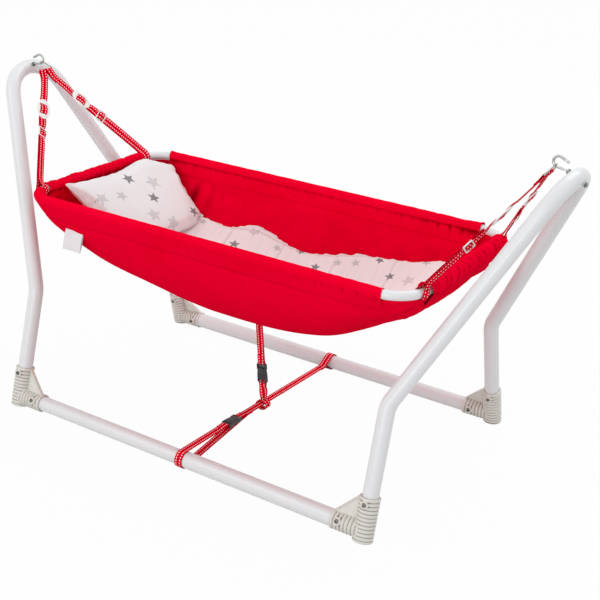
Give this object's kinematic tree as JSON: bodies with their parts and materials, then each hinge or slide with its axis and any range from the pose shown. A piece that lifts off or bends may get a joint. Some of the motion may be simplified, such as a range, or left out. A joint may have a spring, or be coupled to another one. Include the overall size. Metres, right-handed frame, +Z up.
{
  "type": "hanging baby cradle",
  "caption": "Cloth hammock cradle on an oblong steel rim, hung by webbing slings from hooks at the crowns of two bent tube end frames joined by floor tubes.",
  "frame": {"origin": "on the floor, under the middle of the cradle", "axes": "+Z up, X along the cradle with the pillow end at -X, -Y towards the front"},
  "size_m": [1.4942, 0.6772, 0.7832],
  "materials": {
    "white_steel": "glossy white powder coat",
    "ivory_plastic": "moulded, ribbed",
    "zinc": "zinc plated wire",
    "dark_screw": "blackened",
    "red_cloth": "plain woven",
    "printed_cloth": "printed with plain stars",
    "red_webbing": "woven, with two rows of white stitches",
    "clear_plastic": "milky, translucent",
    "black_plastic": "moulded, satin",
    "label_cloth": "plain white"
  },
  "bodies": {
    "frame": {"left_end_frame": "white_steel", "right_end_frame": "white_steel", "front_floor_tube_left": "white_steel", "front_floor_tube_right": "white_steel", "rear_floor_tube_left": "white_steel", "rear_floor_tube_right": "white_steel", "left_front_connector": "ivory_plastic", "left_rear_connector": "ivory_plastic", "right_front_connector": "ivory_plastic", "right_rear_connector": "ivory_plastic", "left_front_lying_screw": "dark_screw", "left_front_upright_screw": "dark_screw", "left_rear_lying_screw": "dark_screw", "left_rear_upright_screw": "dark_screw", "right_front_lying_screw": "dark_screw", "right_front_upright_screw": "dark_screw", "right_rear_lying_screw": "dark_screw", "right_rear_upright_screw": "dark_screw", "left_hook_bolt": "zinc", "left_inner_nut": "zinc", "left_washer": "clear_plastic", "left_outer_nut": "zinc", "right_hook_bolt": "zinc", "right_inner_nut": "zinc", "right_washer": "clear_plastic", "right_outer_nut": "zinc", "cross_strap_rear": "red_webbing", "cross_strap_front": "red_webbing", "cross_buckle_socket": "black_plastic", "cross_buckle_plug": "black_plastic"},
    "cradle": {"rim_tube": "white_steel", "fabric_body": "red_cloth", "mattress": "printed_cloth", "pillow": "printed_cloth", "label": "label_cloth", "left_triangle_ring": "zinc", "right_triangle_ring": "zinc", "left_front_sling": "red_webbing", "left_front_oval_plate": "clear_plastic", "left_front_slider": "clear_plastic", "left_rear_sling": "red_webbing", "left_rear_oval_plate": "clear_plastic", "left_rear_slider": "clear_plastic", "right_front_sling": "red_webbing", "right_front_oval_plate": "clear_plastic", "right_front_slider": "clear_plastic", "right_rear_sling": "red_webbing", "right_rear_oval_plate": "clear_plastic", "right_rear_slider": "clear_plastic"},
    "tether": {"tether_upper_strap": "red_webbing", "tether_buckle_socket": "black_plastic", "tether_buckle_plug": "black_plastic", "tether_lower_strap": "red_webbing"}
  },
  "joints": [
    {"name": "cradle_swing", "type": "hinge", "parent": "frame", "child": "cradle", "pos_m": [0, 0, 0.7627], "axis": [1, 0, 0], "range_deg": [-6, 6]},
    {"name": "tether_swing", "type": "hinge", "parent": "cradle", "child": "tether", "pos_m": [-0.005, 0, 0.2776], "axis": [1, 0, 0], "range_deg": [-18, 18]}
  ],
  "couplings": [
    {"joint": "tether_swing", "follows": "cradle_swing", "ratio": -2.947}
  ]
}
